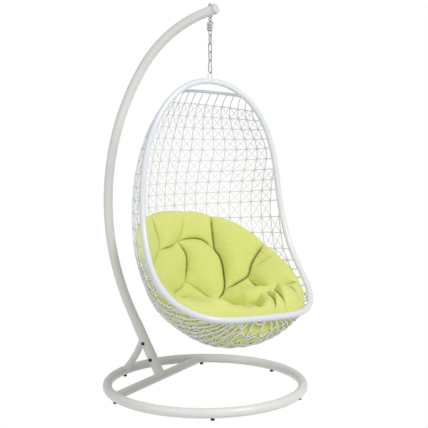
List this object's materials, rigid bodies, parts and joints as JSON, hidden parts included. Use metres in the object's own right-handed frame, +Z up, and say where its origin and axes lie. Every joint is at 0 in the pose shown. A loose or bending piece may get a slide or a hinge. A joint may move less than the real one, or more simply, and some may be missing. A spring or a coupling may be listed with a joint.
{
  "type": "hanging egg chair",
  "caption": "Hanging egg chair: a white woven basket with a lime cushion hangs by a spring and a short chain from a curved steel mast on a round base ring.",
  "frame": {"origin": "on the floor, under the middle of the whole chair's bounding box, with the basket hanging as in the picture", "axes": "+Z up, -Y the stand's front, +Y the side where the mast stands, +X to the right of somebody who faces the stand's front from inside the chair's place; the basket's own front is turned 26.3 degrees from -Y towards -X"},
  "size_m": [1.1488, 1.2351, 2.029],
  "materials": {
    "stand_white": "satin powder coat, white",
    "basket_white": "satin powder coat, white",
    "spring_white": "satin, pale grey",
    "zinc_steel": "satin zinc plate",
    "bolt_steel": "satin zinc plate",
    "black_rubber": "matte black",
    "black_cap": "matte black",
    "cap_grey": "satin, pale grey",
    "weave_grey": "matte white resin strand with a grey shade",
    "cushion_lime": "pale lime woven cover"
  },
  "bodies": {
    "stand": {"base_ring": "stand_white", "cross_member": "stand_white", "ring_feet": "black_rubber", "mast_socket": "stand_white", "rear_brace": "stand_white", "mast": "stand_white", "mast_end_cap": "cap_grey", "mast_bolts": "bolt_steel", "mast_bolt_nuts": "bolt_steel", "bolt_caps": "black_cap", "eye_bolt": "zinc_steel", "saddle_washers": "zinc_steel", "dome_nut": "zinc_steel"},
    "upper_drawbar": {"upper_drawbar": "zinc_steel", "spring": "spring_white"},
    "lower_drawbar": {"lower_drawbar": "zinc_steel"},
    "link_1": {"chain_link_1": "zinc_steel"},
    "link_2": {"chain_link_2": "zinc_steel"},
    "link_3": {"chain_link_3": "zinc_steel"},
    "carabiner": {"carabiner": "zinc_steel", "gate_pin": "bolt_steel"},
    "gate": {"carabiner_gate": "zinc_steel"},
    "basket": {"basket_eye": "basket_white", "rim_tube": "basket_white", "back_rail": "basket_white", "woven_shell": "weave_grey"},
    "cushion": {"cushion": "cushion_lime"}
  },
  "joints": [
    {"name": "hanger_swing", "type": "hinge", "parent": "stand", "child": "upper_drawbar", "pos_m": [0.02968, -0.05244, 1.94232], "axis": [-1, 0, 0], "range_deg": [-8, 12]},
    {"name": "spring_bounce", "type": "slide", "parent": "upper_drawbar", "child": "lower_drawbar", "axis": [0, 0, -1], "range_m": [-0.001, 0.007], "stiffness_N_per_m": 80000, "springref_m": -0.00432, "deforming": ["spring"]},
    {"name": "chain_sway", "type": "hinge", "parent": "lower_drawbar", "child": "link_1", "pos_m": [0.02968, -0.05244, 1.86352], "axis": [0, 1, 0], "range_deg": [-10, 10]},
    {"name": "twist_1", "type": "hinge", "parent": "link_1", "child": "link_2", "pos_m": [0.02968, -0.05244, 1.82367], "axis": [0, 0, 1], "range_deg": [-8.4, 21.6]},
    {"name": "twist_2", "type": "hinge", "parent": "link_2", "child": "link_3", "pos_m": [0.02968, -0.05244, 1.78117], "axis": [0, 0, 1], "range_deg": [-8.4, 21.6]},
    {"name": "twist_3", "type": "hinge", "parent": "link_3", "child": "carabiner", "pos_m": [0.02968, -0.05244, 1.73867], "axis": [0, 0, 1], "range_deg": [-8.4, 21.6]},
    {"name": "basket_turn", "type": "hinge", "parent": "link_1", "child": "basket", "pos_m": [0.02968, -0.05244, 1.67767], "axis": [0, 0, 1], "range_deg": [-33.6, 86.4]},
    {"name": "gate_open", "type": "hinge", "parent": "carabiner", "child": "gate", "pos_m": [0.03279, -0.04375, 1.72398], "axis": [-0.9413, 0.3375, 0], "range_deg": [0, 25], "stiffness_Nm_per_rad": 0.03, "springref_deg": -17.19},
    {"name": "cushion_lift", "type": "slide", "parent": "basket", "child": "cushion", "axis": [0.0469, -0.0232, 0.9986], "range_m": [0, 0.05]}
  ],
  "couplings": [
    {"joint": "twist_1", "follows": "basket_turn", "ratio": 0.25},
    {"joint": "twist_2", "follows": "basket_turn", "ratio": 0.25},
    {"joint": "twist_3", "follows": "basket_turn", "ratio": 0.25}
  ]
}
